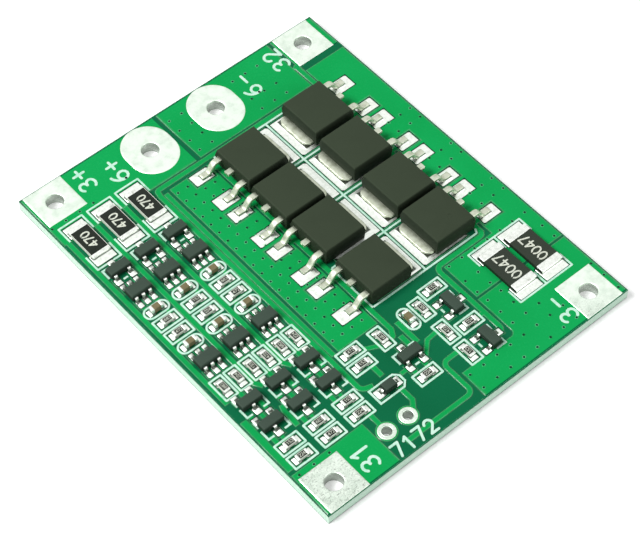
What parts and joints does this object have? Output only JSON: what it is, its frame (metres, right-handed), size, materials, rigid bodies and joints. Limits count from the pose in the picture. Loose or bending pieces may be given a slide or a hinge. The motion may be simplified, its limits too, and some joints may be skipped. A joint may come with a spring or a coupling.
{
  "type": "battery management board",
  "caption": "Bare circuit board for a three-cell battery pack: two rows of power transistors, two shunts, channel parts and tinned lands with holes for wires.",
  "frame": {"origin": "under the middle of the board, level with the underside of the tinned lands", "axes": "+Y along the board's longer side, towards the charger or load lands; +Z out of the side that carries the parts"},
  "size_m": [0.045, 0.056, 0.0039],
  "materials": {
    "laminate": "woven glass and epoxy, sawn edge",
    "copper": "copper foil, hidden under the mask",
    "solder_mask": "glossy green lacquer, lighter over copper than over bare laminate",
    "legend": "screen printed ink, white with a mint cast",
    "solder": "reflowed solder, bright and a little uneven",
    "tinned_land": "hot-air levelled tin, bright, faintly scratched",
    "power_moulding": "moulding compound, matt dark olive grey",
    "tinned_frame": "stamped copper, tin plated",
    "shunt_moulding": "coated resistive strip, black",
    "tinned_cap": "tinned end caps",
    "ceramic": "white alumina",
    "resistor_coat": "glassy black coat",
    "small_moulding": "moulding compound, matt near black",
    "tinned_lead": "stamped leads, tin plated",
    "capacitor_ceramic": "barium titanate ceramic, tan"
  },
  "bodies": {
    "root": {"laminate": "laminate", "copper_top": "copper", "copper_bottom": "copper", "mask_top": "solder_mask", "mask_bottom": "solder_mask", "legend": "legend", "solder": "solder", "land_cell_plus": "tinned_land", "land_cell_minus": "tinned_land", "land_tap_1": "tinned_land", "land_tap_2": "tinned_land", "land_pack_plus": "tinned_land", "land_pack_minus": "tinned_land", "sense_ring_1": "tinned_land", "sense_ring_2": "tinned_land", "power_package_1": "power_moulding", "power_package_2": "power_moulding", "power_package_3": "power_moulding", "power_package_4": "power_moulding", "power_package_5": "power_moulding", "power_package_6": "power_moulding", "power_package_7": "power_moulding", "power_package_8": "power_moulding", "power_frame_1": "tinned_frame", "power_frame_2": "tinned_frame", "power_frame_3": "tinned_frame", "power_frame_4": "tinned_frame", "power_frame_5": "tinned_frame", "power_frame_6": "tinned_frame", "power_frame_7": "tinned_frame", "power_frame_8": "tinned_frame", "shunt_body_1": "shunt_moulding", "shunt_body_2": "shunt_moulding", "shunt_caps_1": "tinned_cap", "shunt_caps_2": "tinned_cap", "bleed_resistor_body_1": "ceramic", "bleed_resistor_body_2": "ceramic", "bleed_resistor_body_3": "ceramic", "bleed_resistor_caps_1": "tinned_cap", "bleed_resistor_caps_2": "tinned_cap", "bleed_resistor_caps_3": "tinned_cap", "bleed_resistor_coats": "resistor_coat", "monitor_package_1": "small_moulding", "monitor_package_2": "small_moulding", "monitor_package_3": "small_moulding", "balancer_package_1": "small_moulding", "balancer_package_2": "small_moulding", "balancer_package_3": "small_moulding", "monitor_leads": "tinned_lead", "balancer_leads": "tinned_lead", "switch_packages": "small_moulding", "switch_leads": "tinned_lead", "diode_package": "small_moulding", "diode_leads": "tinned_lead", "chip_resistor_bodies": "ceramic", "chip_resistor_coats": "resistor_coat", "chip_capacitor_bodies": "capacitor_ceramic", "chip_caps": "tinned_cap"}
  },
  "joints": []
}
